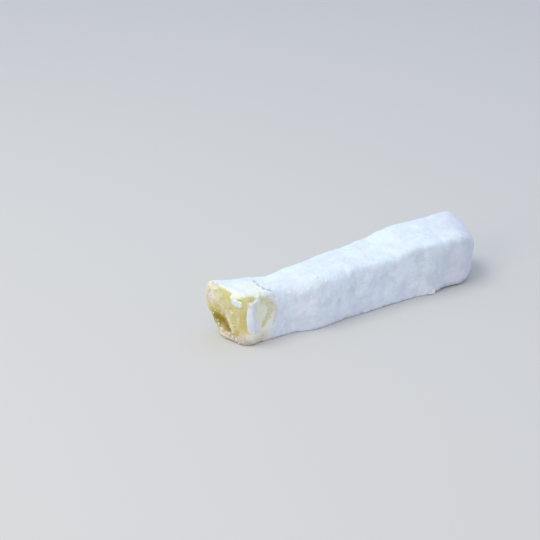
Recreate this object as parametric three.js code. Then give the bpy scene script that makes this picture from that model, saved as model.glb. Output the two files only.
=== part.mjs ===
// A stick of pale yellow starch jelly, thickly dusted with icing sugar, lying on its flat foot.
// One end was cut and shows the bare jelly, and the other is dusted over and rounded.
// Millimetres. X runs along the stick from the cut end, Y from the near side to the far side, Z up.
import * as THREE from "three";

// Driving sizes of the whole stick.
const stickLength = 157.9;
const axisHeight = 13.5; // the section is drawn round this line above the foot
const coatThickness = 0.9; // of the sugar on the sides

// How far each long side lies from the axis, at equal steps along the stick: a flared cut end, a
// neck behind it, a belly on the near side, and a broad far half.
const sideReach = {
  near: [16.5, 14.8, 14.5, 17.9, 17.5, 15.8, 15.2, 14.5, 14.7, 16.2, 14.2, 15.0, 15.2],
  far: [14.0, 9.4, 7.6, 7.9, 9.5, 11.8, 14.8, 16.9, 17.7, 18.2, 19.2, 19.8, 19.8],
  top: [13.8, 13.3, 12.3, 13.6, 13.5, 13.9, 13.3, 13.5, 15.9, 16.6, 15.7, 15.3, 13.6],
  foot: [14.4, 14.4, 14.4, 14.5, 14.5, 14.4, 14.4, 14.4, 14.4, 14.3, 13.2, 12.9, 12.6],
};
const sideAngle = { far: 0, top: 90, near: 180, foot: 270 }; // degrees round the axis, from +Y
// Degrees by which the top is turned to rise to the far side, at the same steps.
const topTilt = [3, 2, 1, 0, 1, 2, 3, 4, 5, 6, 7, 8, 8];
const cornerSharpness = 16; // higher is squarer

// Bevels along the edges: how deep each one cuts, at even steps along the stick.
const edgeBevels = [
  {
    angle: 135,
    between: ["near", "top"],
    depth: [1.2, 1.0, 2.4, 2.7, 2.4, 1.0, 1.2, 1.4, 0.6, 0.8, 0.8, 1.4, 1.9],
  },
  { angle: 45, between: ["far", "top"], depth: [-0.2, 0.85, 1.3, 1.75, 2.2] },
  { angle: 315, between: ["far", "foot"], depth: [-0.6, -0.25, 0.1, 0.45, 0.8] },
];
// Ledges in the near top edge: the bevel deepens over a run up to each place and springs back.
const ledges = [
  { at: 63.5, depth: 1.8 },
  { at: 97.5, depth: 2.6 },
  { at: 130.5, depth: 1.7 },
];
const ledgeAngle = 135;
const ledgeRun = 15;
const ledgeSpring = 3.5;
const bevelWander = { size: 13, height: 0.8 }; // the bevels grow deeper and shallower
// The corner under the far side of the cut end is sliced off, and the slice fades along the stick.
const sliced = { angle: 334, reach: 11.4, fadeEnd: 34 };

// The cut end: it leans out towards the far side, and its rim falls back in broad bevels.
const cutLean = 0.22; // rise of the face for each millimetre across
const cutLeanEnd = 40; // how far down the stick the lean is felt
const cutRim = 1.6; // radius where the face meets the sides
const cutBevels = [
  { angle: 180, from: 13.3, slope: 0.6, softness: 0.6 }, // the near upright corner
  { angle: 90, from: 10.5, slope: 0.45, softness: 0.9 }, // the top rim
  { angle: 322, from: 9.5, slope: 0.5, softness: 0.9 }, // the sliced corner
];
const cutReliefEnd = 13; // how far down the stick the bevels of the face are felt
const cutWaves = [
  { size: 8, height: 0.9 },
  { size: 3.6, height: 0.5 },
];
// Lumps and hollows on the cut face: place across and above the axis, half widths, and height.
const cutLumps = [
  { at: [-7.5, 10.5], half: [3.2, 2.8], height: 1.1 }, // sugar near the top
  { at: [-9.5, 0], half: [4.5, 6.5], height: 0.9 }, // the torn jelly under it
  { at: [3.2, -4.5], half: [3.0, 5.0], height: -1.3 }, // a hollow
  { at: [-0.6, -0.5], half: [2.0, 5.0], height: 0.8 }, // the ridge beside the hollow
];

// The far end is rounded over, and its face is skewed so that the far side is the longer one.
const farCap = 14.5;
const farCapPower = 2.1; // 2 is an ellipse, and higher is squarer
const farSkew = 0.54; // advance of the end for each millimetre across
const farSkewLength = 45;

// Waves and dents along the sides: wavelength and height, from the broad to the fine.
const sideWaves = [
  { size: 21, height: 0.55 },
  { size: 8.5, height: 0.42 },
];
const waveShift = 7; // slides the waves along the stick
const dents = [
  { at: [116, -15.8, 21.5], radius: 6.5, depth: 1.0 },
  { at: [90.4, -14.5, 17], radius: 5.5, depth: 0.8 },
  { at: [87, -14.6, 9.4], radius: 4, depth: 0.6 },
  { at: [66, -15, 12], radius: 4, depth: 0.5 },
  { at: [36, -16, 8], radius: 4, depth: 0.4 },
];

// Where the sugar has worn thin: centre on the stick, half widths, and how clean the patch is.
const barePatches = [
  { at: [9.4, -14, 16.5], half: [10.6, 8, 11.5], clean: 0.6 }, // near side, behind the cut
  { at: [-3, 13, 8], half: [11, 7, 12], clean: 0.85 }, // far side, behind the cut
  { at: [92, 20, 12], half: [14, 6, 7], clean: 0.8 }, // far side, half way along
];
// Sugar stuck to the cut face: centre on the stick and half widths.
const facePatches = [
  { at: [-1, -4, 30], half: [14, 17, 4.6] }, // over the top rim
  { at: [-2.6, -8, 22.4], half: [6, 3.6, 4] }, // the lump near the top
  { at: [-7, 12, 20], half: [6, 4, 8] }, // the far edge
  { at: [0, -9, -1.5], half: [14, 14, 6] }, // along the foot
];
const faceSugar = 0.7; // thickness of the sugar on the cut face
const raggedWaves = [
  { size: 4.2, height: 0.3 },
  { size: 2.1, height: 0.16 },
];
const patchEdge = 2.2; // how sharply a patch ends

// Mesh density.
const around = 60;
const cutRings = 13;
const bodyRings = 62;
const farRings = 14;
const bodyCrowding = 1.25; // above 1 draws the rings of the body towards the cut end
const cornerCrowding = 0.32; // draws the points of a ring towards its four corners

const quarterTurn = Math.PI / 2;
const radians = THREE.MathUtils.degToRad;
const lerp = (a, b, t) => a + (b - a) * t;
const clamp01 = (t) => Math.min(1, Math.max(0, t));
const ease = (t) => t * t * (3 - 2 * t);

// A repeatable number from 0 to 1 for each whole-number point.
function hash(x, y, z) {
  const s = Math.sin(x * 127.1 + y * 311.7 + z * 74.7) * 43758.5453;
  return s - Math.floor(s);
}

// Smooth noise from -1 to 1: the hashes at the corners of a unit cell, blended.
function noise(x, y, z) {
  const [ix, iy, iz] = [x, y, z].map(Math.floor);
  const [fx, fy, fz] = [x - ix, y - iy, z - iz].map(ease);
  const row = (dy, dz) => lerp(hash(ix, iy + dy, iz + dz), hash(ix + 1, iy + dy, iz + dz), fx);
  return 2 * lerp(lerp(row(0, 0), row(1, 0), fy), lerp(row(0, 1), row(1, 1), fy), fz) - 1;
}

// The sum of several waves of noise at a point.
function waves(list, x, y, z) {
  let sum = 0;
  for (const { size, height } of list) sum += height * noise(x / size, y / size, z / size);
  return sum;
}

// A value at x from a list spaced evenly along the stick, on a Catmull-Rom curve.
function along(values, x) {
  const last = values.length - 1;
  const t = clamp01(x / stickLength) * last;
  const i = Math.min(Math.floor(t), last - 1);
  const [a, b, c, d] = [i - 1, i, i + 1, i + 2].map((k) => values[Math.min(Math.max(k, 0), last)]);
  const f = t - i;
  const bend = (2 * a - 5 * b + 4 * c - d) * f ** 2 + (3 * (b - c) + d - a) * f ** 3;
  return (2 * b + (c - a) * f + bend) / 2;
}

// How much the ledges deepen the near top bevel at x.
function ledgeDepth(x) {
  let sum = 0;
  for (const { at, depth } of ledges) {
    const rise = ease(clamp01((x - at + ledgeRun) / ledgeRun));
    sum += depth * rise * (1 - ease(clamp01((x - at) / ledgeSpring + 0.5)));
  }
  return sum;
}

// Distance from the axis to the section's outline: the sides and bevels met with soft corners.
function sectionReach(angle, x) {
  let sum = 0;
  const meet = (degrees, distance, weight = 1) => {
    const facing = Math.max(0, Math.cos(angle - radians(degrees)));
    sum += weight * (facing / distance) ** cornerSharpness;
  };
  for (const side in sideAngle) {
    const tilt = side === "top" ? along(topTilt, x) : 0;
    meet(sideAngle[side] + tilt, along(sideReach[side], x));
  }
  for (const { angle: middle, between, depth } of edgeBevels) {
    const corner = between.reduce((total, side) => total + along(sideReach[side], x), 0);
    const wander = bevelWander.height * noise(x / bevelWander.size, middle, 0);
    const ledge = middle === ledgeAngle ? ledgeDepth(x) : 0;
    meet(middle, corner * Math.SQRT1_2 - along(depth, x) - wander - ledge);
  }
  meet(sliced.angle, sliced.reach, 1 - ease(clamp01(x / sliced.fadeEnd)));
  return sum ** (-1 / cornerSharpness) - coatThickness;
}

// How far the cut face stands out at a point of it, before the lean.
function cutRelief(y, height) {
  let relief = waves(cutWaves, y, height, 0);
  for (const { angle, from, slope, softness } of cutBevels) {
    const outward = y * Math.cos(radians(angle)) + height * Math.sin(radians(angle));
    relief -= slope * softness * Math.log1p(Math.exp((outward - from) / softness));
  }
  for (const { at, half, height: rise } of cutLumps)
    relief += rise * Math.exp(-(((y - at[0]) / half[0]) ** 2) - ((height - at[1]) / half[1]) ** 2);
  return relief;
}

// The rings of the surface from the cut face to the far end: how far along each one lies, how far
// it is drawn in from the full section, and how far it belongs to the cut face.
function ringProfile() {
  const rings = [];
  const rimScale = 1 - cutRim / axisHeight;
  for (let i = 1; i <= cutRings; i++) rings.push({ x: 0, scale: (i / cutRings) * rimScale, face: 1 });
  const rimTurn = quarterTurn / 2;
  rings.push({
    x: cutRim * (1 - Math.sin(rimTurn)),
    scale: lerp(rimScale, 1, Math.cos(rimTurn)),
    face: 0.6,
  });
  const capStart = stickLength - farCap;
  for (let i = 0; i < bodyRings; i++)
    rings.push({ x: lerp(cutRim, capStart, (i / bodyRings) ** bodyCrowding), scale: 1, face: 0 });
  for (let i = 0; i < farRings; i++) {
    const turn = (i / farRings) * quarterTurn;
    const [onward, inward] = [Math.sin(turn), Math.cos(turn)].map((v) => v ** (2 / farCapPower));
    rings.push({ x: capStart + farCap * onward, scale: inward, face: 0 });
  }
  return rings;
}

// How far the waves and dents move the sides out at a point.
function sideRelief(x, y, z) {
  let relief = waves(sideWaves, x + waveShift, y, z);
  for (const { at, radius, depth } of dents) {
    const distance = Math.hypot(x - at[0], y - at[1], z - at[2]);
    relief -= depth * Math.exp(-((distance / radius) ** 2));
  }
  return relief;
}

// How much a patch holds at a point: 1 inside, 0 outside, with a ragged edge.
function patchAt({ at, half }, x, y, z) {
  const [dx, dy, dz] = [x, y, z].map((v, k) => (v - at[k]) / half[k]);
  return clamp01((1 - Math.hypot(dx, dy, dz) + waves(raggedWaves, x, y, z)) * patchEdge);
}

// Thickness of the sugar at a point of the jelly, and 0 where it is bare.
function sugarAt(x, y, z, face) {
  const worn = Math.max(...barePatches.map((patch) => patch.clean * patchAt(patch, x, y, z)));
  const stuck = Math.max(...facePatches.map((patch) => patchAt(patch, x, y, z)));
  return lerp(coatThickness * (1 - worn), faceSugar * stuck, face);
}

// The stick as a closed surface of rings, with one point at each end.
function stickGeometry() {
  const rings = ringProfile();
  const points = [];
  const faces = [];
  const addPoint = (ring, turn) => {
    const angle = turn + (cornerCrowding / 4) * Math.sin(4 * turn);
    const reach = ring.scale * sectionReach(angle, ring.x);
    const y = reach * Math.cos(angle);
    const height = reach * Math.sin(angle);
    const lean = cutLean * (y + sideReach.near[0]) * (1 - ease(clamp01(ring.x / cutLeanEnd)));
    const skewing = ease(clamp01((ring.x - stickLength + farSkewLength) / farSkewLength));
    const relief = cutRelief(y, height) * (1 - ease(clamp01(ring.x / cutReliefEnd)));
    const x = ring.x - lean - relief + skewing * farSkew * y;
    points.push(x, y, height + axisHeight);
    faces.push(ring.face);
  };
  addPoint({ x: 0, scale: 0, face: 1 }, 0);
  for (const ring of rings)
    for (let j = 0; j < around; j++) addPoint(ring, (2 * Math.PI * j) / around);
  addPoint({ x: stickLength, scale: 0, face: 0 }, 0);

  const index = [];
  const at = (i, j) => 1 + i * around + (j % around);
  const last = faces.length - 1;
  for (let j = 0; j < around; j++) {
    index.push(0, at(0, j + 1), at(0, j));
    for (let i = 0; i < rings.length - 1; i++)
      index.push(at(i, j), at(i, j + 1), at(i + 1, j), at(i, j + 1), at(i + 1, j + 1), at(i + 1, j));
    index.push(last, at(rings.length - 1, j), at(rings.length - 1, j + 1));
  }
  const geometry = new THREE.BufferGeometry();
  geometry.setAttribute("position", new THREE.Float32BufferAttribute(points, 3));
  geometry.setIndex(index);
  geometry.computeVertexNormals();

  // Waves and sugar stand out along the normals, and what would sink below the foot is flat.
  const position = geometry.getAttribute("position");
  const normal = geometry.getAttribute("normal");
  faces.forEach((face, k) => {
    const [x, y, z] = [position.getX(k), position.getY(k), position.getZ(k)];
    const out = sugarAt(x, y, z, face) + (1 - face) * sideRelief(x, y, z);
    const height = Math.max(0, z + out * normal.getZ(k));
    position.setXYZ(k, x + out * normal.getX(k), y + out * normal.getY(k), height);
  });
  geometry.computeBoundingBox();
  const middle = geometry.boundingBox.getCenter(new THREE.Vector3());
  return geometry.translate(-middle.x, -middle.y, 0);
}

const sugarMaterial = new THREE.MeshStandardMaterial({
  color: new THREE.Color(0.86, 0.89, 0.94),
  roughness: 0.95,
  metalness: 0,
});

const stick = new THREE.Mesh(stickGeometry(), sugarMaterial);
stick.name = "jelly_stick";

const sweet = new THREE.Group();
sweet.add(stick);
export default sweet;
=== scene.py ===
import math
import bpy
import numpy as np
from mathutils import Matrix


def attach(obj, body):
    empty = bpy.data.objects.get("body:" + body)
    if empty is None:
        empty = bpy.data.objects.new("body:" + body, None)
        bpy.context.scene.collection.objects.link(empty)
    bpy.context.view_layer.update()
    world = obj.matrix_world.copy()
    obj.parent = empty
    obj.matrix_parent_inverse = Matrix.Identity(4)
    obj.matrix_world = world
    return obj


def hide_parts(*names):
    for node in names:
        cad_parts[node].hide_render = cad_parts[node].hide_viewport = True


# A stick of pale yellow jelly under icing sugar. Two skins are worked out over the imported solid: the jelly,
# and the sugar that lies on it and dips under it where it has come off. Clumps, crumbs and grains of sugar
# lie on both. x runs from the cut end, y from the near to the far side, z up. Sizes are millimetres until a
# mesh is made, and the finishes and the studio are in metres. What can be changed stands in a dictionary
# beside the code of each piece.
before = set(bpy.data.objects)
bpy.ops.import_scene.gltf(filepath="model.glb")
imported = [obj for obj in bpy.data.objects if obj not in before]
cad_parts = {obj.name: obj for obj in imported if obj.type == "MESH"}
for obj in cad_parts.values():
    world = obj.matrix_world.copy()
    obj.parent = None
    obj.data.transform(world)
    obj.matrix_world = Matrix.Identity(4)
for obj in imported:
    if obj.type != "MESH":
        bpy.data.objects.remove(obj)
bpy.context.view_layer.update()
millimetre = 0.001
seed = 41  # of the random draws

# Numbers shared by both skins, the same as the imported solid's
stickShape = {
    "length": 157.9,
    "axisHeight": 13.5,  # the section is drawn round this line
    # the sides' distances from it, in steps along the stick, as are all other plain lists
    "near": [16.5, 14.8, 14.5, 17.9, 17.5, 15.8, 15.2, 14.5, 14.7, 16.2, 14.2, 15.0, 15.2],
    "far": [14.0, 9.4, 7.6, 7.9, 9.5, 11.8, 14.8, 16.9, 17.7, 18.2, 19.2, 19.8, 19.8],
    "top": [13.8, 13.3, 12.3, 13.6, 13.5, 13.9, 13.3, 13.5, 15.9, 16.6, 15.7, 15.3, 13.6],
    "foot": [14.4, 14.4, 14.4, 14.5, 14.5, 14.4, 14.4, 14.4, 14.4, 14.3, 13.2, 12.9, 12.6],
    "topTilt": [3, 2, 1, 0, 1, 2, 3, 4, 5, 6, 7, 8, 8],  # degrees that the top rises to the far side
    "sharpness": 16,  # of the section's corners
    "nearTopBevel": [1.2, 1.0, 2.4, 2.7, 2.4, 1.0, 1.2, 1.4, 0.6, 0.8, 0.8, 1.4, 1.9],
    "nearTopAngle": 135.0,
    # the other bevels: angle, the two sides that each one cuts, depth along the stick
    "bevels": [(45, "far", "top", [-0.2, 0.85, 1.3, 1.75, 2.2]),
               (315, "far", "foot", [-0.6, -0.25, 0.1, 0.45, 0.8])],
    "ledges": [(63.5, 1.8), (97.5, 2.6), (130.5, 1.7)],  # where the near top bevel deepens and springs back
    "ledgeRun": 15.0, "ledgeSpring": 3.5,
    "bevelWander": (13.0, 0.8),  # wavelength and depth
    "slice": (334, 11.4, 34.0),  # under the far side of the cut end: angle, distance, end of its fading
    "coat": 0.9,  # thickness of the sugar
    "cutLean": 0.22, "cutLeanEnd": 40.0, "cutRim": 1.6, "cutReliefEnd": 13.0,
    "cutBevels": [(180, 13.3, 0.6, 0.6), (90, 10.5, 0.45, 0.9),
                  (322, 9.5, 0.5, 0.9)],  # angle, start, slope, softness
    "cutWaves": [(8.0, 0.9), (3.6, 0.5)],  # waves, here and below: wavelength, height
    "cutLumps": [(-7.5, 10.5, 3.2, 2.8, 1.1), (-9.5, 0, 4.5, 6.5, 0.9), (3.2, -4.5, 3.0, 5.0, -1.3),
                 (-0.6, -0.5, 2.0, 5.0, 0.8)],  # y, height over the axis, their half widths, rise
    "farCap": 14.5, "farCapPower": 2.1, "farSkew": 0.54, "farSkewLength": 45.0,
    "sideWaves": [(21.0, 0.55), (8.5, 0.42)], "waveShift": 7.0,
    "dents": [((116, -15.8, 21.5), 6.5, 1.0), ((90.4, -14.5, 17), 5.5, 0.8), ((87, -14.6, 9.4), 4.0, 0.6),
              ((66, -15, 12), 4.0, 0.5), ((36, -16, 8), 4.0, 0.4)],  # centre, radius, depth
    "crowding": 0.32,  # draws the points of a ring to its corners
    "normalPasses": 4,  # how often the directions of the surface are evened out
    "middle": (77.642, 1.42),  # of the solid's box, which is the frame's origin
}


hashSteps = (127.1, 311.7, 74.7)
hashScale = 43758.5453


def hashOf(x, y, z):
    # A repeatable number from 0 to 1 for each whole-number point: the fraction of a large sine.
    s = np.sin(x * hashSteps[0] + y * hashSteps[1] + z * hashSteps[2]) * hashScale
    return s - np.floor(s)


def ease(t):
    # 0 to 1 with level ends: three t squared less two t cubed.
    t = np.clip(t, 0.0, 1.0)
    return t * t * (3 - 2 * t)


def noiseOf(x, y, z):
    # Smooth noise from -1 to 1: the hashes at the eight corners of a unit cell, blended by ease.
    x, y, z = np.broadcast_arrays(*(np.asarray(v, float) for v in (x, y, z)))
    ix, iy, iz = np.floor(x), np.floor(y), np.floor(z)
    fx, fy, fz = ease(x - ix), ease(y - iy), ease(z - iz)
    total = np.zeros(x.shape)
    for dx in (0, 1):
        for dy in (0, 1):
            for dz in (0, 1):
                weight = (fx if dx else 1 - fx) * (fy if dy else 1 - fy) * (fz if dz else 1 - fz)
                total = total + weight * hashOf(ix + dx, iy + dy, iz + dz)
    return 2 * total - 1


def wavesOf(waves, x, y, z):
    # The sum of noises, each with its own wavelength and height.
    return sum(height * noiseOf(x / size, y / size, z / size) for size, height in waves)


waveTurns = {"spin": (0.7, 1.3), "tip": (0.5, 0.9), "shift": 31.7}  # first angle and step, shift per wave


def turnedWaves(waves, points):
    # The sum of noises as before, each read in its own turned directions, so that no lattice lines show.
    total = 0
    for k, (size, height) in enumerate(waves):
        a, b = (first + step * k for first, step in (waveTurns["spin"], waveTurns["tip"]))
        turn = np.array([[math.cos(a), -math.sin(a), 0], [math.sin(a), math.cos(a), 0], [0, 0, 1]])
        tip = np.array([[1, 0, 0], [0, math.cos(b), -math.sin(b)], [0, math.sin(b), math.cos(b)]])
        u, v, w = np.moveaxis(points @ (turn @ tip).T / size, -1, 0)
        total = total + height * noiseOf(u + waveTurns["shift"] * k, v, w)
    return total


def along(values, x):
    # A value at x from an even list, on a cubic curve through the list's points, whose slope at each point
    # is half the step between the point's neighbours.
    values = np.asarray(values, float)
    last = len(values) - 1
    t = np.clip(x / stickShape["length"], 0, 1) * last
    i = np.minimum(np.floor(t).astype(int), last - 1)
    f = t - i
    a, b, c, d = (values[np.clip(i + k, 0, last)] for k in (-1, 0, 1, 2))
    return (2 * b + (c - a) * f + (2 * a - 5 * b + 4 * c - d) * f ** 2 + (3 * (b - c) + d - a) * f ** 3) / 2


def sectionReach(angle, x):
    # Distance from the axis to the section's outline. Every side and bevel is a plane at a distance, and
    # the outline is where the high powers of facing over distance add up to one, which rounds the corners.
    shape = stickShape

    def meet(degrees, distance, weight=1.0):
        # A plane's part in the sum: its facing over its distance, raised to the sharpness.
        facing = np.maximum(0, np.cos(angle - np.radians(degrees)))
        return weight * (facing / distance) ** shape["sharpness"]

    reach = {side: along(shape[side], x) for side in ("near", "far", "top", "foot")}
    total = meet(0, reach["far"]) + meet(90 + along(shape["topTilt"], x), reach["top"])
    total = total + meet(180, reach["near"]) + meet(270, reach["foot"])
    size, height = shape["bevelWander"]
    diagonal = math.sqrt(0.5)  # the corner of two sides lies at the sum of their distances times this
    deepened = along(shape["nearTopBevel"], x) + height * noiseOf(x / size, shape["nearTopAngle"], 0.0)
    run, spring = shape["ledgeRun"], shape["ledgeSpring"]
    for place, drop in shape["ledges"]:
        rise = ease((x - place + run) / run)
        deepened = deepened + drop * rise * (1 - ease((x - place + spring / 2) / spring))
    total = total + meet(shape["nearTopAngle"], (reach["near"] + reach["top"]) * diagonal - deepened)
    for middle, first, second, depths in shape["bevels"]:
        depth = along(depths, x) + height * noiseOf(x / size, float(middle), 0.0)
        total = total + meet(middle, (reach[first] + reach[second]) * diagonal - depth)
    degrees, distance, fadeEnd = shape["slice"]
    total = total + meet(degrees, distance, 1 - ease(x / fadeEnd))
    return total ** (-1 / shape["sharpness"]) - shape["coat"]


def cutRelief(y, height):
    # How far the cut face stands out: noise, less ramps that start at each bevel, plus bell-shaped lumps.
    shape = stickShape
    relief = wavesOf(shape["cutWaves"], y, height, 0.0)
    for degrees, start, slope, softness in shape["cutBevels"]:
        outward = y * math.cos(math.radians(degrees)) + height * math.sin(math.radians(degrees))
        relief = relief - slope * softness * np.logaddexp(0, (outward - start) / softness)
    for cy, cz, halfY, halfZ, rise in shape["cutLumps"]:
        relief = relief + rise * np.exp(-((y - cy) / halfY) ** 2 - ((height - cz) / halfZ) ** 2)
    return relief


def ringProfile(cutRings, rimRings, bodyRings, farRings, crowding):
    # Where each ring lies, how far it is drawn in, and how far it belongs to the cut face: a disc from its
    # middle, a quarter-round rim, a body with rings crowded to the cut, and a squarish cap that closes.
    shape = stickShape
    rimScale = 1 - shape["cutRim"] / shape["axisHeight"]
    disc = np.arange(cutRings + 1) / cutRings * rimScale
    rim = np.arange(1, rimRings + 1) / (rimRings + 1)
    rimTurn = (1 - rim) * math.pi / 2
    capStart = shape["length"] - shape["farCap"]
    body = (np.arange(bodyRings) / bodyRings) ** crowding
    turn = np.arange(farRings + 1) / farRings * math.pi / 2
    power = 2 / shape["farCapPower"]
    x = np.concatenate([0 * disc, shape["cutRim"] * (1 - np.sin(rimTurn)),
                        shape["cutRim"] + (capStart - shape["cutRim"]) * body,
                        capStart + shape["farCap"] * np.sin(turn) ** power])
    scale = np.concatenate([disc, rimScale + (1 - rimScale) * np.cos(rimTurn),
                            0 * body + 1, np.maximum(0, np.cos(turn)) ** power])
    scale[-1] = 0
    face = np.concatenate([0 * disc + 1, 1 - rim, 0 * body, 0 * turn])
    return x[:, None], scale[:, None], face[:, None]


def gridNormals(points):
    # The cross product of the steps round and along the grid, evened out over a few neighbours.
    normals = np.cross(np.roll(points, -1, 1) - np.roll(points, 1, 1), np.gradient(points, axis=0))
    normals[0], normals[-1] = normals[1].sum(0), normals[-2].sum(0)
    normals /= np.linalg.norm(normals, axis=-1, keepdims=True)
    for _ in range(stickShape["normalPasses"]):
        normals = np.roll(normals, 1, 1) + 2 * normals + np.roll(normals, -1, 1)
        inner = normals[:-2] + 2 * normals[1:-1] + normals[2:]
        normals[1:-1] = inner / 4
        normals /= np.linalg.norm(normals, axis=-1, keepdims=True)
    return normals


def stickSkin(around, cutRings, rimRings, bodyRings, farRings, crowding):
    # The bare stick as a grid of rings by points: each ring is the section at its x, drawn in by its scale,
    # leant at the cut, pushed out by the relief of the cut, and skewed at the far end. A sine of four times
    # the angle crowds the points to the four corners.
    shape = stickShape
    x, scale, face = ringProfile(cutRings, rimRings, bodyRings, farRings, crowding)
    turn = 2 * math.pi * np.arange(around)[None] / around
    angle = turn + shape["crowding"] / 4 * np.sin(4 * turn)
    reach = scale * sectionReach(angle, x)
    y, height = reach * np.cos(angle), reach * np.sin(angle)
    lean = shape["cutLean"] * (y + shape["near"][0]) * (1 - ease(x / shape["cutLeanEnd"]))
    relief = cutRelief(y, height) * (1 - ease(x / shape["cutReliefEnd"]))
    skewing = ease((x - shape["length"] + shape["farSkewLength"]) / shape["farSkewLength"])
    x = x - lean - relief + skewing * shape["farSkew"] * y
    points = np.stack([x, y, height + shape["axisHeight"]], -1)
    return points, gridNormals(points), face


def sideWavesAt(points, face):
    # The broad waves and round dents of the sides, which fade out on the cut face.
    x, y, z = np.moveaxis(points, -1, 0)
    waves = wavesOf(stickShape["sideWaves"], x + stickShape["waveShift"], y, z)
    for centre, radius, depth in stickShape["dents"]:
        waves = waves - depth * np.exp(-np.sum((points - np.array(centre)) ** 2, -1) / radius ** 2)
    return (1 - face) * waves


def patchAt(patch, points, ragged):
    # A patch's strength inside it and 0 outside. Its edge is where the powers of the distances over the
    # half widths add up to one: an egg for a power of 2 and a box for a high one, which is frayed less.
    centre, half, strength, edge, power = patch
    distance = np.sum(np.abs((points - np.array(centre)) / np.array(half)) ** power, -1) ** (1 / power)
    return np.clip((1 - distance + ragged * 2 / power) * edge, 0, 1) * strength


def mostOf(patches, points, ragged):
    # The strongest of several patches at each point.
    return np.max([patchAt(patch, points, ragged) for patch in patches], axis=0)


def lineDistance(line, u, v):
    # The shortest distance in a plane to a line of straight pieces.
    best = np.full(u.shape, np.inf)
    for (u0, v0), (u1, v1) in zip(line[:-1], line[1:]):
        t = np.clip(((u - u0) * (u1 - u0) + (v - v0) * (v1 - v0)) / ((u1 - u0) ** 2 + (v1 - v0) ** 2), 0, 1)
        best = np.minimum(best, np.hypot(u - u0 - t * (u1 - u0), v - v0 - t * (v1 - v0)))
    return best


def strokeAt(line, width, u, v, wander):
    # 1 along a line of straight pieces in a plane, falling off as a bell over its width.
    return np.exp(-((lineDistance(line, u, v) + wander) / width) ** 2)


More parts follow.
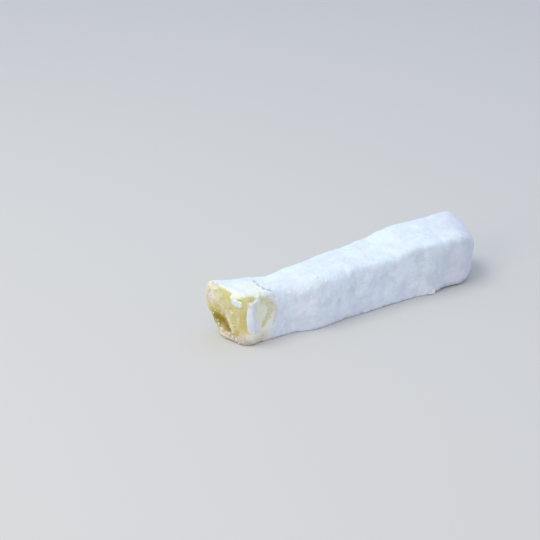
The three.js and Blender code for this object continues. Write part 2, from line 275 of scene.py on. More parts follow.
# Where the sugar lies: 0 is bare jelly, 0.5 a tinted veil and 1 thick powder
sugarCover = {
    "ragged": [(4.2, 0.20), (2.1, 0.14), (1.1, 0.12), (0.6, 0.08)],  # the waves that fray every edge
    # each patch: centre, half widths, strength, sharpness of its edge, power
    "worn": [
        ((8.5, -14, 15.0), (9.5, 8, 12.0), 0.38, 1.6, 2.8),  # near side behind the cut
        ((2.4, -14, 24.6), (4.6, 3.4, 2.3), 0.92, 1.7, 2.4),  # near top corner of the cut
        ((9.5, -14, 22.8), (6.0, 3.4, 3.0), 0.36, 1.2, 2.4),  # behind that corner
        ((16.5, -12, 23.5), (5, 4, 4), 0.16, 1.5, 2),  # upper end of the crust
        ((-3, 13, 8), (11, 7, 12), 0.85, 1.2, 2),  # far side behind the cut
        ((5, -15, 3), (17, 8, 7), 0.42, 1.2, 2),  # near foot
        ((92, 20, 12), (14, 6, 7), 0.80, 1.2, 2),  # far side half way along
        ((8.5, -7, 28), (8, 10, 5), 0.30, 1.8, 2.4),  # top behind the cut
        ((150, -12, 0), (12, 6, 3.0), 0.60, 1.6, 2),  # near foot at the far end
    ],
    "nearFrom": -9.0, "nearFade": 3.0,  # y where the near side starts, and the run over which it sets in
    # a worn streak, by x and z
    "arcLine": [(9.4, 22.4), (12.2, 20.8), (14.2, 18.2), (14.6, 15.6), (13.2, 13.0), (11.0, 11.0),
                (9.8, 9.6)],
    "arcWidth": 3.0, "arcWander": 3.0, "arcWorn": 0.60,  # wander: how far the waves shift a line
    # the rosy crust behind it, by x and z
    "crustLine": [(13.6, 22.6), (15.8, 20.0), (17.4, 16.6), (17.8, 13.4), (15.8, 9.8)],
    "crustWidth": 1.7, "crustWander": 2.5, "crustWorn": 0.30, "crustRosy": 0.8,
    "stuck": [
        ((-9, -3.6, 30.6), (14, 7.8, 5.6), 1.0, 7.0, 4),  # cap over the top of the cut
        ((-2.6, -8.0, 22.0), (6, 2.7, 2.5), 1.0, 2.4, 2),  # lump under the cap
        ((-2.6, -10.6, 21.5), (6, 2.0, 2.1), 1.0, 3.0, 2),
        ((-2.6, -6.2, 24.0), (6, 1.5, 1.3), 1.0, 3.0, 2),
        ((2.2, -16.5, 18.8), (2.6, 3.3, 3.6), 0.86, 3.4, 3),  # strip along the near edge of the cut
        ((3.9, -16.5, 11.2), (3.6, 3.3, 5.0), 1.0, 2.6, 3),
        ((1.5, -16.5, 14.7), (1.9, 3.3, 7.6), 0.94, 3.6, 5),
        ((5.2, -16, 14.6), (5.4, 3.4, 7.8), 0.64, 1.4, 3),
        ((-2.4, -7.5, 25.4), (6, 5.2, 2.2), 0.62, 1.8, 2.4),  # under the edge of the cap
        ((-6, 9.6, 26.0), (9, 6.5, 4.6), 0.60, 1.5, 2),  # far top corner of the cut
        ((0, -12.6, 0.3), (14, 9.6, 6.4), 0.60, 1.6, 2.2),  # foot of the cut
        ((1.5, -15.5, 8.2), (2.6, 3.0, 3.4), 0.88, 2.0, 2),  # lower end of the strip
        ((1, -15.5, 4.0), (8, 4, 4.4), 0.70, 1.6, 2.4),
    ],
    "film": [
        ((-5, 8.8, 20), (7, 5.0, 6.4), 0.80, 1.3, 2),  # far upper part of the cut face
        ((-5, 5.0, 20), (7, 8, 8), 0.54, 1.0, 2),
        ((-3, -1, 19), (7, 8, 10), 0.32, 1.0, 2),  # its middle
        ((-2, -9.8, 12.8), (6, 2.0, 6.0), 0.36, 1.2, 2),
        ((-3, -6, 6.0), (6, 8, 4.5), 0.12, 1.0, 2),  # its foot
        ((-1, -12.8, 5.4), (6, 5.5, 3.6), 0.40, 1.4, 2),
    ],
    # a broken ridge of sugar down the cut face, by y and z
    "ridgeLine": [(7.5, 20.5), (4.5, 18.5), (1.9, 17.0), (-0.5, 14.6), (-1.8, 11.9), (-3.6, 9.2),
                  (-5.0, 6.6)],
    "ridgeWidth": 2.1, "ridgeWander": 1.5, "ridgeCover": 0.52, "ridgeRosy": 0.8,
    "ridgeBreaks": (0.9, 3),  # its strength where the waves are level, and how much they change it
    # sugar on the rim of the cut, by y and z
    "rimLines": [[(11.6, 24.0), (12.0, 19.0), (11.4, 16.0)],
                 [(3.4, 3.0), (1.6, 2.0), (-2.5, 1.2), (-8.0, 0.8), (-13.5, 1.0)]],
    "rimWidth": 1.2, "rimWander": 2.0, "rimCover": 0.60, "rimRosy": 0.9,
    "rosy": [
        ((-6, 9, 19), (8, 6.5, 7), 1.0, 1.2, 2),  # far upper part of the cut face
        ((-1, -9, 1), (9, 12, 8.5), 1.0, 1.6, 2),  # its foot
        ((10, -15, 1), (11, 5, 6), 0.7, 1.2, 2),  # near foot, partly the thin sugar's own pink and partly a painted warm reflection from below
        ((-4, 8.4, 27.6), (7, 3.8, 2.6), 1.0, 2.0, 2),  # far top corner
        ((17.5, -13, 21), (3.4, 4, 5.5), 0.8, 1.2, 2),  # upper end of the crust
        ((2.0, -15, 20.8), (3.6, 3, 3.0), 0.9, 1.4, 2),  # upper end of the strip
        ((-2, -9.8, 12.8), (6, 2.0, 6.0), 0.8, 1.2, 2),  # beside the strip
        ((-1, -13, 8), (6, 6, 4.5), 0.9, 1.4, 2),
        ((-1, 0, 19.5), (6, 4.5, 5), 0.5, 1.2, 2),  # middle of the cut face
    ],
    "green": [
        ((10.0, -14, 15.0), (8, 6, 11), 0.5, 1.4, 2),  # near side behind the cut
        ((8.5, -6, 27), (9, 10, 4), 1.0, 2.0, 3),  # top behind the cut
        ((-5, 9.5, 25), (6, 4.5, 3.4), 0.7, 1.2, 2),  # far top corner
        ((-4, -2, 24.6), (6, 9, 2.8), 0.8, 1.2, 2),  # under the cap
        ((-3, -6.1, 12.5), (5, 2.4, 3.4), 0.7, 1.2, 2),  # middle of the cut face
        ((-3, -7.6, 5.0), (5, 1.6, 2.2), 0.8, 1.2, 2),  # its foot
        ((6.4, -14, 24.2), (3.4, 3, 2.4), 1.0, 1.6, 2),  # near top corner
        ((-9, -3.6, 30.6), (14, 7.8, 5.6), 1.0, 4, 4),  # the cap
        ((150, -12, 0), (14, 6, 4), 1.0, 1.6, 2),  # near foot at the far end
        ((-2.4, -7.5, 25.4), (6, 6.5, 3), 1.0, 2.0, 2.4),  # under the edge of the cap
    ],
    # painted shade, tinted lilac, where the sides face away from the light and at the far end
    "lilac": [
        ((30, -16, 12), (30, 7, 13), 0.8, 1.0, 2),  # near side of the neck
        ((152, 5, 18), (20, 30, 22), 1.0, 2.0, 2),  # far end
        ((142, -15, 13), (30, 8, 17), 1.0, 1.6, 2.4),  # near side before it
        ((110, 18, 31), (70, 7, 7), 0.8, 1.0, 4),  # far top edge, a painted shadow
        ((3, -16, 12), (5, 4, 9), 0.75, 2.0, 2),  # strip along the near edge of the cut
        ((60, -16, 2), (60, 7, 9), 0.7, 1.2, 3),  # near foot
    ],
    "veil": (0.10, 0.95),  # cover between which the powder thickens
    "hold": (0.05, 0.22),  # and between which it takes hold of the jelly
}


def coverAt(points, face):
    # How far the sugar covers: 1 less what is worn off on the sides, and what has stuck on the cut face.
    # The tints of the sugar come with it: rosy, green, and a lilac painted shade.
    cover = sugarCover
    x, y, z = np.moveaxis(points, -1, 0)
    ragged = turnedWaves(cover["ragged"], points)
    near = ease((cover["nearFrom"] - y) / cover["nearFade"])
    arc = near * strokeAt(cover["arcLine"], cover["arcWidth"], x, z, cover["arcWander"] * ragged)
    crust = near * strokeAt(cover["crustLine"], cover["crustWidth"], x, z, cover["crustWander"] * ragged)
    worn = [mostOf(cover["worn"], points, ragged), cover["arcWorn"] * arc, cover["crustWorn"] * crust]
    sides = 1 - np.max(worn, axis=0)
    film = mostOf(cover["film"], points, ragged)
    ridge = strokeAt(cover["ridgeLine"], cover["ridgeWidth"], y, z, cover["ridgeWander"] * ragged) * face
    level, change = cover["ridgeBreaks"]
    ridge = ridge * np.clip(level + change * ragged, 0, 1)
    wander = cover["rimWander"] * ragged
    rim = np.max([strokeAt(line, cover["rimWidth"], y, z, wander) for line in cover["rimLines"]], axis=0)
    rim = rim * (x < stickShape["cutReliefEnd"])
    stuck = np.maximum(mostOf(cover["stuck"], points, ragged), cover["rimCover"] * rim)
    film = np.maximum(film, cover["ridgeCover"] * ridge)
    rosy = [mostOf(cover["rosy"], points, ragged)]
    rosy += [cover["ridgeRosy"] * ridge, cover["rimRosy"] * rim, cover["crustRosy"] * crust]
    return {
        "cover": np.maximum(sides + face * (film - sides), stuck), "rosy": np.max(rosy, axis=0),
        "green": mostOf(cover["green"], points, ragged), "lilac": mostOf(cover["lilac"], points, ragged),
    }


def toMesh(name, points, faces, attributes, material):
    # One piece, moved to the frame's origin, with nothing under the floor. The faces come as arrays, one
    # for each number of corners, and each attribute is a number per point.
    flat = points.reshape(-1, 3).copy()
    flat[:, 0] -= stickShape["middle"][0]
    flat[:, 1] -= stickShape["middle"][1]
    flat[:, 2] = np.maximum(0, flat[:, 2])
    mesh = bpy.data.meshes.new(name)
    mesh.vertices.add(len(flat))
    mesh.vertices.foreach_set("co", (flat * millimetre).ravel())
    corners = np.concatenate([block.ravel() for block in faces])
    totals = np.concatenate([np.full(len(block), block.shape[1]) for block in faces])
    mesh.loops.add(len(corners))
    mesh.loops.foreach_set("vertex_index", corners.astype(np.int32))
    mesh.polygons.add(len(totals))
    mesh.polygons.foreach_set("loop_start", (np.cumsum(totals) - totals).astype(np.int32))
    mesh.polygons.foreach_set("loop_total", totals.astype(np.int32))
    mesh.polygons.foreach_set("use_smooth", np.ones(len(totals), bool))
    for key, values in attributes.items():
        layer = mesh.attributes.new(key, "FLOAT", "POINT")
        layer.data.foreach_set("value", values.ravel().astype(np.float32))
    mesh.update(calc_edges=True)
    mesh.validate()
    mesh.materials.append(material)
    piece = bpy.data.objects.new(name, mesh)
    bpy.context.scene.collection.objects.link(piece)
    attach(piece, "root")
    print(name, len(flat), "points", int((totals - 2).sum()), "triangles")
    return piece


def closedGrid(rings, around):
    # Faces of a grid whose first and last rings are one point each: two fans, and quads between them.
    i = np.arange(rings - 3)[:, None]
    j = np.arange(around)[None]
    nextJ = (j + 1) % around
    start = 1 + i * around
    quads = np.stack([start + j, start + nextJ, start + around + nextJ, start + around + j], -1)
    j, nextJ = j[0], nextJ[0]
    lastStart = 1 + (rings - 3) * around
    first = np.stack([0 * j, 1 + nextJ, 1 + j], -1)
    last = np.stack([0 * j + lastStart + around, lastStart + j, lastStart + nextJ], -1)
    return [quads.reshape(-1, 4), first, last]


def closedPoints(grid):
    # The grid's points in one list, with its first and last rings as one point each.
    return np.concatenate([grid[0, :1], grid[1:-1].reshape(-1, *grid.shape[2:]), grid[-1, :1]])


# Nodes and materials
def addNode(tree, kind, inputs=None, **settings):
    # A node with its settings, and each input fed by a socket or set to a value.
    made = tree.nodes.new(kind)
    for key, value in settings.items():
        setattr(made, key, value)
    for key, value in (inputs or {}).items():
        if isinstance(value, bpy.types.NodeSocket):
            tree.links.new(value, made.inputs[key])
        else:
            made.inputs[key].default_value = value
    return made


def addMix(tree, factor, first, second):
    # A colour between the first and the second, by the factor from 0 to 1. In its colour mode the node
    # takes the two at its inputs 6 and 7, and gives the mix at its output 2.
    made = addNode(tree, "ShaderNodeMix", {0: factor}, data_type="RGBA")
    for key, value in ((6, first), (7, second)):
        if isinstance(value, bpy.types.NodeSocket):
            tree.links.new(value, made.inputs[key])
        else:
            made.inputs[key].default_value = (*value, 1)
    return made.outputs[2]


def addNoise(tree, coords, size, detail, rough, offset):
    # Noise with a wavelength in millimetres, shifted by an offset.
    moved = addNode(tree, "ShaderNodeMapping", {"Vector": coords, "Location": (offset, offset, offset)})
    return addNode(tree, "ShaderNodeTexNoise", {
        "Vector": moved.outputs[0], "Scale": 1 / (size * millimetre), "Detail": detail, "Roughness": rough,
    }).outputs["Fac"]


def addRamp(tree, value, low, high, toLow=0.0, toHigh=1.0):
    # An eased change from toLow to toHigh while the value goes from low to high.
    return addNode(tree, "ShaderNodeMapRange", {
        "Value": value, "From Min": low, "From Max": high, "To Min": toLow, "To Max": toHigh,
    }, interpolation_type="SMOOTHSTEP").outputs[0]


def addMath(tree, operation, first, second):
    # One step of arithmetic on two sockets or numbers.
    return addNode(tree, "ShaderNodeMath", {0: first, 1: second}, operation=operation).outputs[0]


def attributeOf(tree, name):
    # A number that the mesh keeps at each of its points.
    return addNode(tree, "ShaderNodeAttribute", attribute_name=name).outputs["Fac"]


def startMaterial(name):
    # A material that is one shader and its output.
    made = bpy.data.materials.new(name)
    made.use_nodes = True
    tree = made.node_tree
    tree.nodes.clear()
    shader = addNode(tree, "ShaderNodeBsdfPrincipled")
    addNode(tree, "ShaderNodeOutputMaterial", {"Surface": shader.outputs[0]})
    return made, tree, shader


sweetColours = {
    # thick powder; its lilac also serves as painted shade
    "white": (0.845, 0.945, 0.98), "lilac": (0.805, 0.815, 0.90), "dusk": (0.69, 0.745, 0.83),
    "greenWhite": (0.89, 0.95, 0.95),
    # thin sugar, where the jelly shows through
    "cream": (0.91, 0.88, 0.68), "rosyCream": (0.78, 0.67, 0.575), "greenCream": (0.89, 0.92, 0.73),
    "damp": (0.75, 0.72, 0.46), "rosyDamp": (0.78, 0.65, 0.46), "greenDamp": (0.62, 0.65, 0.40),
    "hollow": (0.40, 0.42, 0.40),  # painted shade of the crack, the pits and the shaded powder
    # bare jelly, and a dark olive painted shade for its hollows
    "pale": (0.63, 0.62, 0.33), "lemon": (0.72, 0.63, 0.20), "deep": (0.31, 0.215, 0.01),
    "amber": (0.88, 0.66, 0.18),
}
sweetPattern = {
    # each noise: wavelength, detail, roughness, offset
    "clouds": (6, 3.0, 0.55, 0.2), "mottle": (1.7, 4.0, 0.55, 0.0), "drift": (9, 5.0, 0.62, 3.4),
    "broad": (16, 2.0, 0.55, 0.0), "lesser": (5, 3.0, 0.55, 0.3),
    "noiseMiddle": 0.5,
    # each ramp: from, to, and what it gives there where that isn't 0 and 1
    "cloudRamp": (0.35, 0.65), "mottleByCover": (0.2, 0.9, 0.9, 0.4), "lilacRamp": (0.8, 1.25, 0, 0.7),
    "driftRamp": (0.42, 0.66), "driftByUpward": (0.2, 0.8, 0.75, 0.3),
    "dampRamp": (0.08, 0.36), "creamRamp": (0.34, 0.66), "whiteRamp": (0.62, 0.95),
}


def coverColour(tree, coords):
    # The bare jelly's colour, then a damp veil, then cream, then white as the sugar thickens.
    look, pattern = sweetColours, sweetPattern

    def noise(name):
        # One of the pattern's noises.
        return addNoise(tree, coords, *pattern[name])

    def ramp(value, name):
        # One of the pattern's ramps over a value.
        return addRamp(tree, value, *pattern[name])

    cover, rosy, green = (attributeOf(tree, name) for name in ("cover", "rosy", "green"))
    colour = addMix(tree, ramp(noise("clouds"), "cloudRamp"), look["pale"], look["lemon"])
    # the painted shade of the cut face's hollows, and the amber spot
    for name in ("deep", "amber"):
        colour = addMix(tree, attributeOf(tree, name), colour, look[name])
    mottle = addMath(tree, "SUBTRACT", noise("mottle"), pattern["noiseMiddle"])
    veil = addMath(tree, "ADD", cover, addMath(tree, "MULTIPLY", mottle, ramp(cover, "mottleByCover")))
    damp = addMix(tree, rosy, addMix(tree, green, look["damp"], look["greenDamp"]), look["rosyDamp"])
    cream = addMix(tree, rosy, addMix(tree, green, look["cream"], look["greenCream"]), look["rosyCream"])
    broad = addMath(tree, "ADD", noise("broad"), noise("lesser"))
    # random lilac tone, and the painted lilac shade of the patches
    lilac = addMath(tree, "MAXIMUM", ramp(broad, "lilacRamp"), attributeOf(tree, "lilac"))
    upward = ramp(attributeOf(tree, "upward"), "driftByUpward")  # the top is less clouded
    drift = addMath(tree, "MULTIPLY", ramp(noise("drift"), "driftRamp"), upward)
    white = addMix(tree, drift, addMix(tree, lilac, look["white"], look["lilac"]), look["dusk"])
    white = addMix(tree, green, white, look["greenWhite"])
    for name, layer in (("dampRamp", damp), ("creamRamp", cream), ("whiteRamp", white)):
        colour = addMix(tree, ramp(veil, name), colour, layer)
    # painted shade: the crack, the pits and the shaded powder are mixed towards grey
    return addMix(tree, attributeOf(tree, "hollow"), colour, look["hollow"]), veil


bumpNoise = {"detail": 4.0, "rough": 0.6, "shift": 0.1, "strength": 0.9}  # the shift is per wave


def makeSweet(name, finish):
    # A material whose colour, roughness and depth of light all follow the veil of sugar, so that jelly and
    # powder melt together. Its bumps are the sum of noises, each with its share.
    made, tree, shader = startMaterial(name)
    coords = addNode(tree, "ShaderNodeTexCoord").outputs["Object"]
    colour, veil = coverColour(tree, coords)
    tree.links.new(colour, shader.inputs["Base Color"])
    tree.links.new(addRamp(tree, veil, *finish["roughness"]), shader.inputs["Roughness"])
    tree.links.new(addRamp(tree, veil, *finish["subsurface"]), shader.inputs["Subsurface Weight"])
    shader.inputs["Subsurface Radius"].default_value = finish["radius"]
    shader.inputs["Subsurface Scale"].default_value = finish["subsurfaceScale"]
    shader.inputs["Specular IOR Level"].default_value = finish["specular"]
    height = 0.0
    for k, (size, share) in enumerate(finish["bumps"]):
        wave = addNoise(tree, coords, size, bumpNoise["detail"], bumpNoise["rough"], bumpNoise["shift"] * k)
        height = addMath(tree, "ADD", addMath(tree, "MULTIPLY", wave, share), height)
    bump = addNode(tree, "ShaderNodeBump", {
        "Height": height, "Strength": bumpNoise["strength"], "Distance": finish["bumpDistance"],
    })
    tree.links.new(bump.outputs[0], shader.inputs["Normal"])
    return made


# The jelly
jellyFinish = {
    # by the veil of sugar: from, to, and what it gives there
    "roughness": (0.05, 0.5, 0.42, 0.9), "subsurface": (0.25, 0.85, 0.8, 0.3),
    "radius": (1.0, 0.8, 0.35), "subsurfaceScale": 0.001, "specular": 0.4,
    "bumps": [(2.2, 1.0), (0.9, 0.35)], "bumpDistance": 0.0003,  # wavelength and share of each
}
jellyPiece = {
    "grid": {"around": 200, "cutRings": 56, "rimRings": 12, "bodyRings": 190, "farRings": 20,
             "crowding": 1.5},  # points of a ring, rings of each stretch, crowding of rings to the cut
    "torn": [(2.4, 0.22), (1.2, 0.12), (0.6, 0.05)],  # relief of the bare jelly
    "ragged": [(3.4, 0.25), (1.5, 0.14)],
    # painted shade, darker in the hollow of the cut face, by y and z, and towards its foot
    "deepLine": [(6.4, 10.6), (4.8, 9.8), (2.0, 8.5), (-1.2, 7.1), (-3.0, 6.4)], "deepWidth": 3.2,
    "deep": [
        ((-1, -11.5, 12), (6, 4.5, 8), 0.25, 1.0, 2), ((-1, -8.6, 12), (6, 4.0, 6.0), 0.20, 1.2, 2),
        ((-1, -6.5, 3.6), (7, 8.5, 5.6), 0.42, 1.6, 2),
    ],
    "amber": [
        ((1.2, -13.4, 25.3), (2.2, 2.3, 2.1), 0.62, 1.5, 2),  # near top corner
        ((-1, -9.2, 11.5), (6, 4.6, 7.0), 0.34, 1.2, 2),  # near half of the cut face
    ],
    "amberFray": 0.5,
}


def makeSkin(name, points, out, normals, attributes, material):
    # A grid pushed out along its normals, closed at both ends and made one piece.
    skin = closedPoints(points + out[..., None] * normals)
    attributes = {**attributes, "upward": np.clip(normals[..., 2], 0, 1)}
    listed = {key: closedPoints(values) for key, values in attributes.items()}
    return skin, toMesh(name, skin, closedGrid(*points.shape[:2]), listed, material)


def makeJelly(material):
    # The bare stick with its side waves, and torn relief that shows where the sugar is gone.
    piece = jellyPiece
    points, normals, face = stickSkin(**piece["grid"])
    x, y, z = np.moveaxis(points, -1, 0)
    out = sideWavesAt(points, face) + wavesOf(piece["torn"], x, y, z)
    ragged = wavesOf(piece["ragged"], x, y, z)
    # painted shade along the hollow of the cut face and towards its foot
    deep = strokeAt(piece["deepLine"], piece["deepWidth"], y, z, ragged) * face
    attributes = {
        **coverAt(points, face),
        "deep": np.maximum(deep, mostOf(piece["deep"], points, ragged)),
        "amber": mostOf(piece["amber"], points, piece["amberFray"] * ragged),
    }
    makeSkin("jellyInside", points, out, normals, attributes, material)


# The coat of sugar
sugarFinish = {
    # by the veil of sugar: from, to, and what it gives there
    "roughness": (0.05, 0.5, 0.5, 0.95), "subsurface": (0.25, 0.85, 0.7, 0.03),
    "radius": (1.0, 0.85, 0.5), "subsurfaceScale": 0.001, "specular": 0.25,
    "bumps": [(3.8, 1.5), (1.6, 1.0), (0.55, 0.6), (0.25, 0.4)], "bumpDistance": 0.00013,
}
sugarPiece = {
    "grid": {"around": 240, "cutRings": 56, "rimRings": 12, "bodyRings": 294, "farRings": 42,
             "crowding": 1.25},
    "thickness": stickShape["coat"], "faceThickness": 0.75,
    "sink": 0.35,  # how far the skin dips under the jelly where the sugar is gone
    "lumps": [(7.0, 0.18), (3.2, 0.09), (1.6, 0.05), (0.9, 0.03)],
    "powder": (1.2, 0.16),  # wavelength and share by which the thickness varies
    "plateWaves": [(5.5, 1), (5.5 / 2.3, 0.4)],  # they are cut off into plates
    "plates": (0.16, 0.3),  # height, and how soft their edges are
    "thinRelief": 0.25,  # share of the relief that the thinnest sugar keeps
    "crackLine": [(15.7, 2.1), (14.3, -2.6), (13.3, -6.6), (14.2, -9.6), (16, -11.4)],
    "crackWidth": 0.5, "crackDepth": 1.1, "crackHeight": 20.0, "crackWander": 0.8, "crackShade": 0.9,
    "pits": [((142.7, -13.7, 23.9), 0.8, 0.6), ((108.5, -14.5, 20.1), 2.2, 0.4),
             ((118.5, -15.6, 16.4), 2.0, 0.35), ((128.2, -14.4, 6.9), 2.0, 0.4),
             ((55.7, -16.4, 12), 1.2, 0.5), ((66.6, -14.8, 13.9), 1.2, 0.4)],  # centre, radius, depth
    "pitShade": 0.35,  # over the square of the radius
    "footFret": (3.0, 0.9, 2.6, 3.0),  # wavelength, depth, height that it reaches, row of the noise
    # painted shade on the powder
    "shaded": [
        ((146, -14, 0), (36, 9, 6), 0.50, 1.2, 2.4),  # near foot of the far half
        ((-1, -10, 0), (10, 13, 6.5), 0.62, 1.5, 2.4),  # foot of the cut
        ((138, -15, 13.5), (31, 9, 13.5), 0.15, 3.5, 3),  # near side of the far half
        ((150, -2, 31), (26, 26, 7), 0.10, 1.2, 2),  # top of the far end
    ],
}


def makeSugar(material):
    # The jelly's skin pushed out by the thickness of the sugar and its lumps, plates, pits, crack and
    # fretted foot, and drawn in under the jelly where the sugar is too thin to hold.
    piece = sugarPiece
    points, normals, face = stickSkin(**piece["grid"])
    x, y, z = np.moveaxis(points, -1, 0)
    tints = coverAt(points, face)
    cover = tints["cover"]
    low, high = sugarCover["veil"]
    full = piece["thickness"] + face * (piece["faceThickness"] - piece["thickness"])
    thickness = full * ease((cover - low) / (high - low))
    size, share = piece["powder"]
    thickness = thickness * (1 + share * noiseOf(x / size, y / size, z / size))
    low, high = sugarCover["hold"]
    hold = ease((cover - low) / (high - low))
    height, edge = piece["plates"]
    plates = height * (ease((turnedWaves(piece["plateWaves"], points) + edge) / (2 * edge)) - 0.5)
    relief = turnedWaves(piece["lumps"], points) + plates
    away = lineDistance(piece["crackLine"], x + piece["crackWander"] * noiseOf(x, y, 0), y)
    crack = np.exp(-((away / piece["crackWidth"]) ** 2)) * (z > piece["crackHeight"])
    relief = relief - piece["crackDepth"] * crack
    # Painted shade: the crack and the pits are greyed in colour as well as dented, and the shaded patches of
    # powder are greyed too.
    hollow = piece["crackShade"] * crack
    for centre, radius, depth in piece["pits"]:
        pit = np.exp(-(np.linalg.norm(points - np.array(centre), axis=-1) / radius) ** 2)
        relief = relief - depth * pit
        hollow = np.maximum(hollow, pit * min(1, piece["pitShade"] / radius ** 2))
    hollow = np.maximum(hollow, mostOf(piece["shaded"], points, turnedWaves(sugarCover["ragged"], points)))
    size, depth, reachUp, row = piece["footFret"]
    fret = np.maximum(0, noiseOf(x / size, y / size, row)) * depth * (1 - ease(z / reachUp))
    thin = piece["thinRelief"]
    relief = relief * hold * (thin + (1 - thin) * thickness / full)
    out = thickness * hold - piece["sink"] * (1 - hold) + relief - fret + sideWavesAt(points, face)
    attributes = {**tints, "hollow": np.clip(hollow, 0, 1)}
    skin, made = makeSkin("sugarCoat", points, out, normals, attributes, material)
    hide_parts("jelly_stick")
    return skin, closedPoints(normals), {key: closedPoints(values) for key, values in tints.items()}


# Clumps, crumbs and grains
def roundLump(splits):
    # An icosahedron's corners and faces, and for each split every face cut into four and pushed out to the
    # ball. The corners are those of three golden rectangles.
    g = (1 + math.sqrt(5)) / 2
    corners = np.array([(-1, g, 0), (1, g, 0), (-1, -g, 0), (1, -g, 0), (0, -1, g), (0, 1, g), (0, -1, -g),
                        (0, 1, -g), (g, 0, -1), (g, 0, 1), (-g, 0, -1), (-g, 0, 1)]) / math.hypot(1, g)
    faces = np.array([(0, 11, 5), (0, 5, 1), (0, 1, 7), (0, 7, 10), (0, 10, 11), (1, 5, 9), (5, 11, 4),
                      (11, 10, 2), (10, 7, 6), (7, 1, 8), (3, 9, 4), (3, 4, 2), (3, 2, 6), (3, 6, 8),
                      (3, 8, 9), (4, 9, 5), (2, 4, 11), (6, 2, 10), (8, 6, 7), (9, 8, 1)])
    for _ in range(splits):
        ends = np.sort(np.concatenate([faces[:, [0, 1]], faces[:, [1, 2]], faces[:, [2, 0]]]), axis=1)
        ends, place = np.unique(ends, axis=0, return_inverse=True)
        ab, bc, ca = (place.reshape(-1) + len(corners)).reshape(3, -1)
        corners = np.concatenate([corners, corners[ends].sum(1)])
        corners = corners / np.linalg.norm(corners, axis=1, keepdims=True)
        a, b, c = faces.T
        quarters = ((a, ab, ca), (b, bc, ab), (c, ca, bc), (ab, bc, ca))
        faces = np.concatenate([np.stack(quarter, 1) for quarter in quarters])
    return corners, faces


lumpSpan = 50  # each lump is dented by the noise at a place of its own in a cube of this width


def scatterLumps(name, centres, radii, tints, rng, material, look):
    # One lump at each centre: the round lump, dented by noise, its corners pushed in and out, squashed, and
    # turned at random by a matrix made of four drawn numbers.
    corners, faces = roundLump(look["splits"])
    count = len(centres)
    q = rng.normal(size=(count, 4))
    a, b, c, d = (q / np.linalg.norm(q, axis=1, keepdims=True)).T
    turn = np.stack([1 - 2 * (c * c + d * d), 2 * (b * c - a * d), 2 * (b * d + a * c),
                     2 * (b * c + a * d), 1 - 2 * (b * b + d * d), 2 * (c * d - a * b),
                     2 * (b * d - a * c), 2 * (c * d + a * b), 1 - 2 * (b * b + c * c)], 1)
    places = corners[None] * look["knobs"] + lumpSpan * rng.uniform(size=(count, 1, 3))
    knobbly = 1 + look["knobHeight"] * noiseOf(*np.moveaxis(places, -1, 0))[..., None]
    uneven = 1 + look["uneven"] * rng.uniform(-1, 1, (count, len(corners), 1))
    sizes = radii[:, None, None] * knobbly * uneven * rng.uniform(look["squash"], 1, (count, 1, 3))
    points = np.einsum("nij,nkj->nki", turn.reshape(-1, 3, 3), corners[None] * sizes) + centres[:, None]
    index = (faces[None] + len(corners) * np.arange(count)[:, None, None]).reshape(-1, 3)
    attributes = {key: np.repeat(values, len(corners)) for key, values in tints.items()}
    toMesh(name, points, [index], attributes, material)


def pick(rng, weight, count):
    # Some of the skin's points, drawn by weight and none of them twice.
    return rng.choice(len(weight), count, replace=False, p=weight / weight.sum())


def pickRadii(rng, piece, count):
    # Radii between the two sizes, a draw from 0 to 1 raised to a power, which makes more of them small.
    low, high = piece["size"]
    return low + (high - low) * rng.uniform(0, 1, count) ** piece["smallness"]


def tintsOf(tints, picked):
    # The tints of the skin at some of its points.
    return {key: values[picked] for key, values in tints.items()}


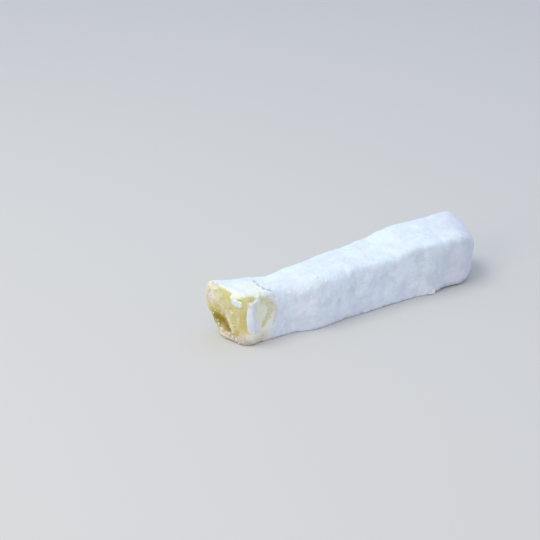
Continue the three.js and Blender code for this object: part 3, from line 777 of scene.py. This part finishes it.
clumpPiece = {
    "seed": seed + 2,
    # centre on the surface, radius, cover, rosy
    "placed": [
        # round the rim of the cut and on its face
        ((-3.7, 2.0, 4.6), 1.5, 0.66, 0.9), ((-3.0, -3.3, 3.6), 1.9, 0.62, 1.0),
        ((-3.4, -0.8, 3.6), 1.2, 0.62, 1.0), ((-2.6, -5.8, 2.4), 1.3, 0.64, 0.9),
        ((-2.0, -8.2, 1.8), 1.2, 0.66, 0.8), ((-4.2, 4.9, 6.4), 0.8, 0.7, 0.7),
        ((-3.9, 5.6, 8.3), 0.55, 0.7, 0.6), ((-5.6, 9.0, 11.4), 0.6, 0.68, 0.5),
        ((-5.0, 6.9, 15.5), 0.6, 0.7, 0.5), ((-3.0, -5.6, 15.2), 1.3, 0.74, 0.9),
        ((-3.0, -4.3, 16.2), 0.9, 0.70, 1.0), ((-2.8, -6.5, 9.1), 0.85, 0.72, 0.6),
        ((-3.0, -6.1, 24.4), 0.75, 1.0, 0.0), ((-2.2, -11.2, 21.8), 0.7, 1.0, 0.0),
        ((-2.6, -8.6, 20.0), 0.8, 0.8, 0.2), ((-3.2, 0.4, 13.6), 0.6, 0.66, 1.0),
        ((-3.2, -2.4, 10.6), 0.65, 0.66, 1.0), ((-4.9, 8.2, 18.0), 0.9, 0.7, 1.0),
        ((-5.3, 9.6, 21.5), 0.9, 0.7, 0.8), ((-3.4, 8.0, 27.8), 0.8, 0.8, 0.9),
        ((-3.6, 10.6, 27.4), 0.7, 0.85, 0.5),
        # behind the cut
        ((16.6, -13.4, 22.4), 0.8, 0.75, 0.8), ((18.0, -13.6, 19.6), 0.6, 0.75, 0.7),
        ((14.6, -6.6, 26.6), 0.7, 0.9, 0.1), ((12.6, -8.4, 26.6), 0.8, 0.85, 0.1),
        ((16.6, -9.8, 26.0), 0.7, 0.8, 0.6),
        # at the foot
        ((118.9, -15.0, 1.7), 2.1, 1, 0), ((116.6, -15.0, 1.2), 1.4, 0.95, 0.1),
        ((121.0, -15.0, 1.0), 1.3, 0.95, 0.1),
        # bright specks on the sides
        ((43.8, -13.4, 26.2), 0.85, 1, 0), ((47.4, -16.1, 24.1), 0.95, 1, 0),
        ((59.2, -15.8, 20.9), 0.7, 1, 0), ((65.1, -15.0, 17.6), 0.95, 1, 0),
        ((102.7, -12.2, 27.4), 0.9, 1, 0), ((23.3, -12.4, 22.4), 0.8, 1, 0),
        ((37.8, -16.4, 18.0), 0.7, 1, 0), ((25.7, -13.3, 18.8), 0.6, 1, 0),
        ((139.2, -12.8, 26.7), 0.7, 1, 0),
    ],
    "splits": 2, "knobs": 2.1, "knobHeight": 0.50, "uneven": 0.05, "squash": 0.5,
    "sunk": 0.25,  # share of its radius that a clump is sunk
    "overSink": 0.2,  # and how far it stands off where the skin dips under the jelly
}


def makeClumps(skin, normals, tints, material):
    # The big clumps, each a little sunk where the skin is nearest to its centre. Those with a cover of 1
    # are the whitest.
    piece = clumpPiece
    centres, radii, cover, rosy = (np.array(values) for values in zip(*piece["placed"]))
    nearest = np.argmin(np.linalg.norm(skin[None] - centres[:, None], axis=-1), axis=1)
    own = tintsOf(tints, nearest)
    own.update(cover=cover, rosy=rosy, green=np.where(cover < 1, own["green"], 1), lilac=0 * cover)
    bare = tints["cover"][nearest] < sugarCover["hold"][1]
    lift = np.where(bare, sugarPiece["sink"] + piece["overSink"], 0) - piece["sunk"] * radii
    centres = skin[nearest] + lift[:, None] * normals[nearest]
    scatterLumps("sugarClumps", centres, radii, own, np.random.default_rng(piece["seed"]), material, piece)


crumbPiece = {
    "seed": seed,
    # round the lower left of the cut, by y and z, up to rimEnd along the stick
    "rimLine": [(11.6, 24.0), (12.0, 19.0), (10.4, 13.5), (8.8, 10.4), (5.6, 5.2), (2.6, 2.4), (-2.5, 1.2),
                (-8.0, 0.8), (-13.5, 1.0)],
    "rimWidth": 1.3, "rimEnd": 3, "rimCount": 150, "rimGrowth": 1.35,
    "edgeCover": (0.75, 0.12), "edgeAbove": 1.5, "edgeCount": 120,  # middle and spread, here and below
    "footHeight": (1.2, 0.9), "footCount": 200,
    "crustWidth": 2.0, "crustCount": 70,
    "crustFacing": -0.4, "footFacing": -0.6,  # how far down the skin may face there
    "leastWeight": 1e-9,  # of any point, so that enough can be drawn
    "size": (0.2, 0.65), "smallness": 2.2, "sunk": 0.3, "leastCover": 0.6,
    "splits": 1, "knobs": 2.0, "knobHeight": 0.5, "uneven": 0.2, "squash": 0.42,
}


def makeCrumbs(skin, normals, tints, material):
    # Crumbs gather on the lower rim of the cut, at the edges of the sugar, along the foot and on the crust.
    # Each of these has a weight, a bell over the distance from its line, cover or height.
    piece = crumbPiece
    rng = np.random.default_rng(piece["seed"])
    x, y, z = skin.T
    rim = strokeAt(piece["rimLine"], piece["rimWidth"], y, z, 0) * (x < piece["rimEnd"])
    crust = strokeAt(sugarCover["crustLine"], piece["crustWidth"], x, z, 0) * (y < sugarCover["nearFrom"])
    crust = crust * (normals[:, 2] > piece["crustFacing"])
    middle, spread = piece["edgeCover"]
    edge = np.exp(-((tints["cover"] - middle) / spread) ** 2) * (z > piece["edgeAbove"])
    middle, spread = piece["footHeight"]
    foot = np.exp(-((z - middle) / spread) ** 2) * (normals[:, 2] > piece["footFacing"])
    least = piece["leastWeight"]
    weights = [(rim, "rimCount"), (edge, "edgeCount"), (foot, "footCount"), (crust, "crustCount")]
    picked = np.concatenate([pick(rng, weight + least, piece[count]) for weight, count in weights])
    radii = pickRadii(rng, piece, len(picked))
    radii[:piece["rimCount"]] *= piece["rimGrowth"]
    centres = skin[picked] - normals[picked] * piece["sunk"] * radii[:, None]
    own = tintsOf(tints, picked)
    own["cover"] = np.maximum(own["cover"], piece["leastCover"])
    scatterLumps("sugarCrumbs", centres, radii, own, rng, material, piece)


grainPiece = {
    "seed": seed + 1,
    "count": 4600, "above": 0.3,  # the lowest height
    "thickFrom": 0.8, "onThin": 0.06,  # cover from which grains lie close, and their share under it
    "size": (0.09, 0.22), "smallness": 2, "lift": 0.3, "whiter": 0.15,
    "splits": 0, "knobs": 1.0, "knobHeight": 0.0, "uneven": 0.35, "squash": 0.6,
}


def makeGrains(skin, normals, tints, material):
    # Fine grains lie all over the sugar, and few on the bare jelly, each tinted like what it lies on and
    # lifted by a share of its radius.
    piece = grainPiece
    rng = np.random.default_rng(piece["seed"])
    weight = np.where(tints["cover"] > piece["thickFrom"], 1.0, piece["onThin"])
    picked = pick(rng, weight * (skin[:, 2] > piece["above"]), piece["count"])
    radii = pickRadii(rng, piece, len(picked))
    own = tintsOf(tints, picked)
    bare = own["cover"] < sugarCover["hold"][0]
    lift = piece["lift"] * radii + np.where(bare, sugarPiece["sink"], 0)
    centres = skin[picked] + normals[picked] * lift[:, None]
    own["cover"] = np.minimum(1, own["cover"] + piece["whiter"])
    scatterLumps("sugarGrains", centres, radii, own, rng, material, piece)


# Floor, light and camera
studio = {
    "floorColour": (0.68, 0.66, 0.63), "floorRoughness": 0.9, "floorSpecular": 0.1,
    "floorSize": 3.0, "floorDrop": 0.00008,
    "skyColour": (0.746, 0.821, 1.0), "skyStrength": 0.83,
    "lamps": [  # name, place, width, watts, colour
        ("overhead", (-0.45, 0.25, 1.1), 0.7, 4.56, (0.95, 1.0, 0.87)),
        ("leftFill", (-1.2, -0.35, 0.5), 0.7, 3.96, (1.0, 0.79, 0.52)),
    ],
    "cameraPlace": (-0.606598, -0.770614, 0.410078), "cameraTurn": (90 - 21.83003, 0, -35.72),
    "lens": 135.0, "sensor": 36.0,
}


def makeFloor():
    # A pale square just under the stick, half its size to each side of the origin.
    half, drop = studio["floorSize"] / 2, -studio["floorDrop"]
    mesh = bpy.data.meshes.new("paleFloor")
    corners = [(-half, -half, drop), (half, -half, drop), (half, half, drop), (-half, half, drop)]
    mesh.from_pydata(corners, [], [(0, 1, 2, 3)])
    made, _, shader = startMaterial("paleFloor")
    shader.inputs["Base Color"].default_value = (*studio["floorColour"], 1)
    shader.inputs["Roughness"].default_value = studio["floorRoughness"]
    shader.inputs["Specular IOR Level"].default_value = studio["floorSpecular"]
    mesh.materials.append(made)
    floor = bpy.data.objects.new("paleFloor", mesh)
    bpy.context.scene.collection.objects.link(floor)
    print("floor ready")


def makeLight():
    # An even sky, and round lamps turned to the origin: each is tipped by the angle from straight up to its
    # place, and spun to the side that it stands on.
    world = bpy.data.worlds.new("softStudio")
    world.use_nodes = True
    sky = world.node_tree.nodes["Background"]
    sky.inputs["Color"].default_value = (*studio["skyColour"], 1)
    sky.inputs["Strength"].default_value = studio["skyStrength"]
    bpy.context.scene.world = world
    for name, place, width, watts, colour in studio["lamps"]:
        data = bpy.data.lights.new(name, "AREA")
        data.shape, data.size, data.energy, data.color = "DISK", width, watts, colour
        lamp = bpy.data.objects.new(name, data)
        lamp.location = place
        x, y, z = place
        lamp.rotation_euler = (math.atan2(math.hypot(x, y), z), 0, math.atan2(x, -y))
        bpy.context.scene.collection.objects.link(lamp)
    print("light ready")


def makeCamera():
    # The camera at its place, turned by degrees, with plain display of the colours.
    scene = bpy.context.scene
    data = bpy.data.cameras.new("photoView")
    data.lens, data.sensor_width = studio["lens"], studio["sensor"]
    camera = bpy.data.objects.new("photoView", data)
    camera.location = studio["cameraPlace"]
    camera.rotation_euler = [math.radians(v) for v in studio["cameraTurn"]]
    scene.collection.objects.link(camera)
    scene.camera = camera
    scene.view_settings.view_transform = "Standard"
    print("camera ready")


makeFloor()
makeLight()
makeCamera()
sugar = makeSweet("icingSugar", sugarFinish)
makeJelly(makeSweet("paleJelly", jellyFinish))
surface = makeSugar(sugar)
makeClumps(*surface, sugar)
makeCrumbs(*surface, sugar)
makeGrains(*surface, sugar)
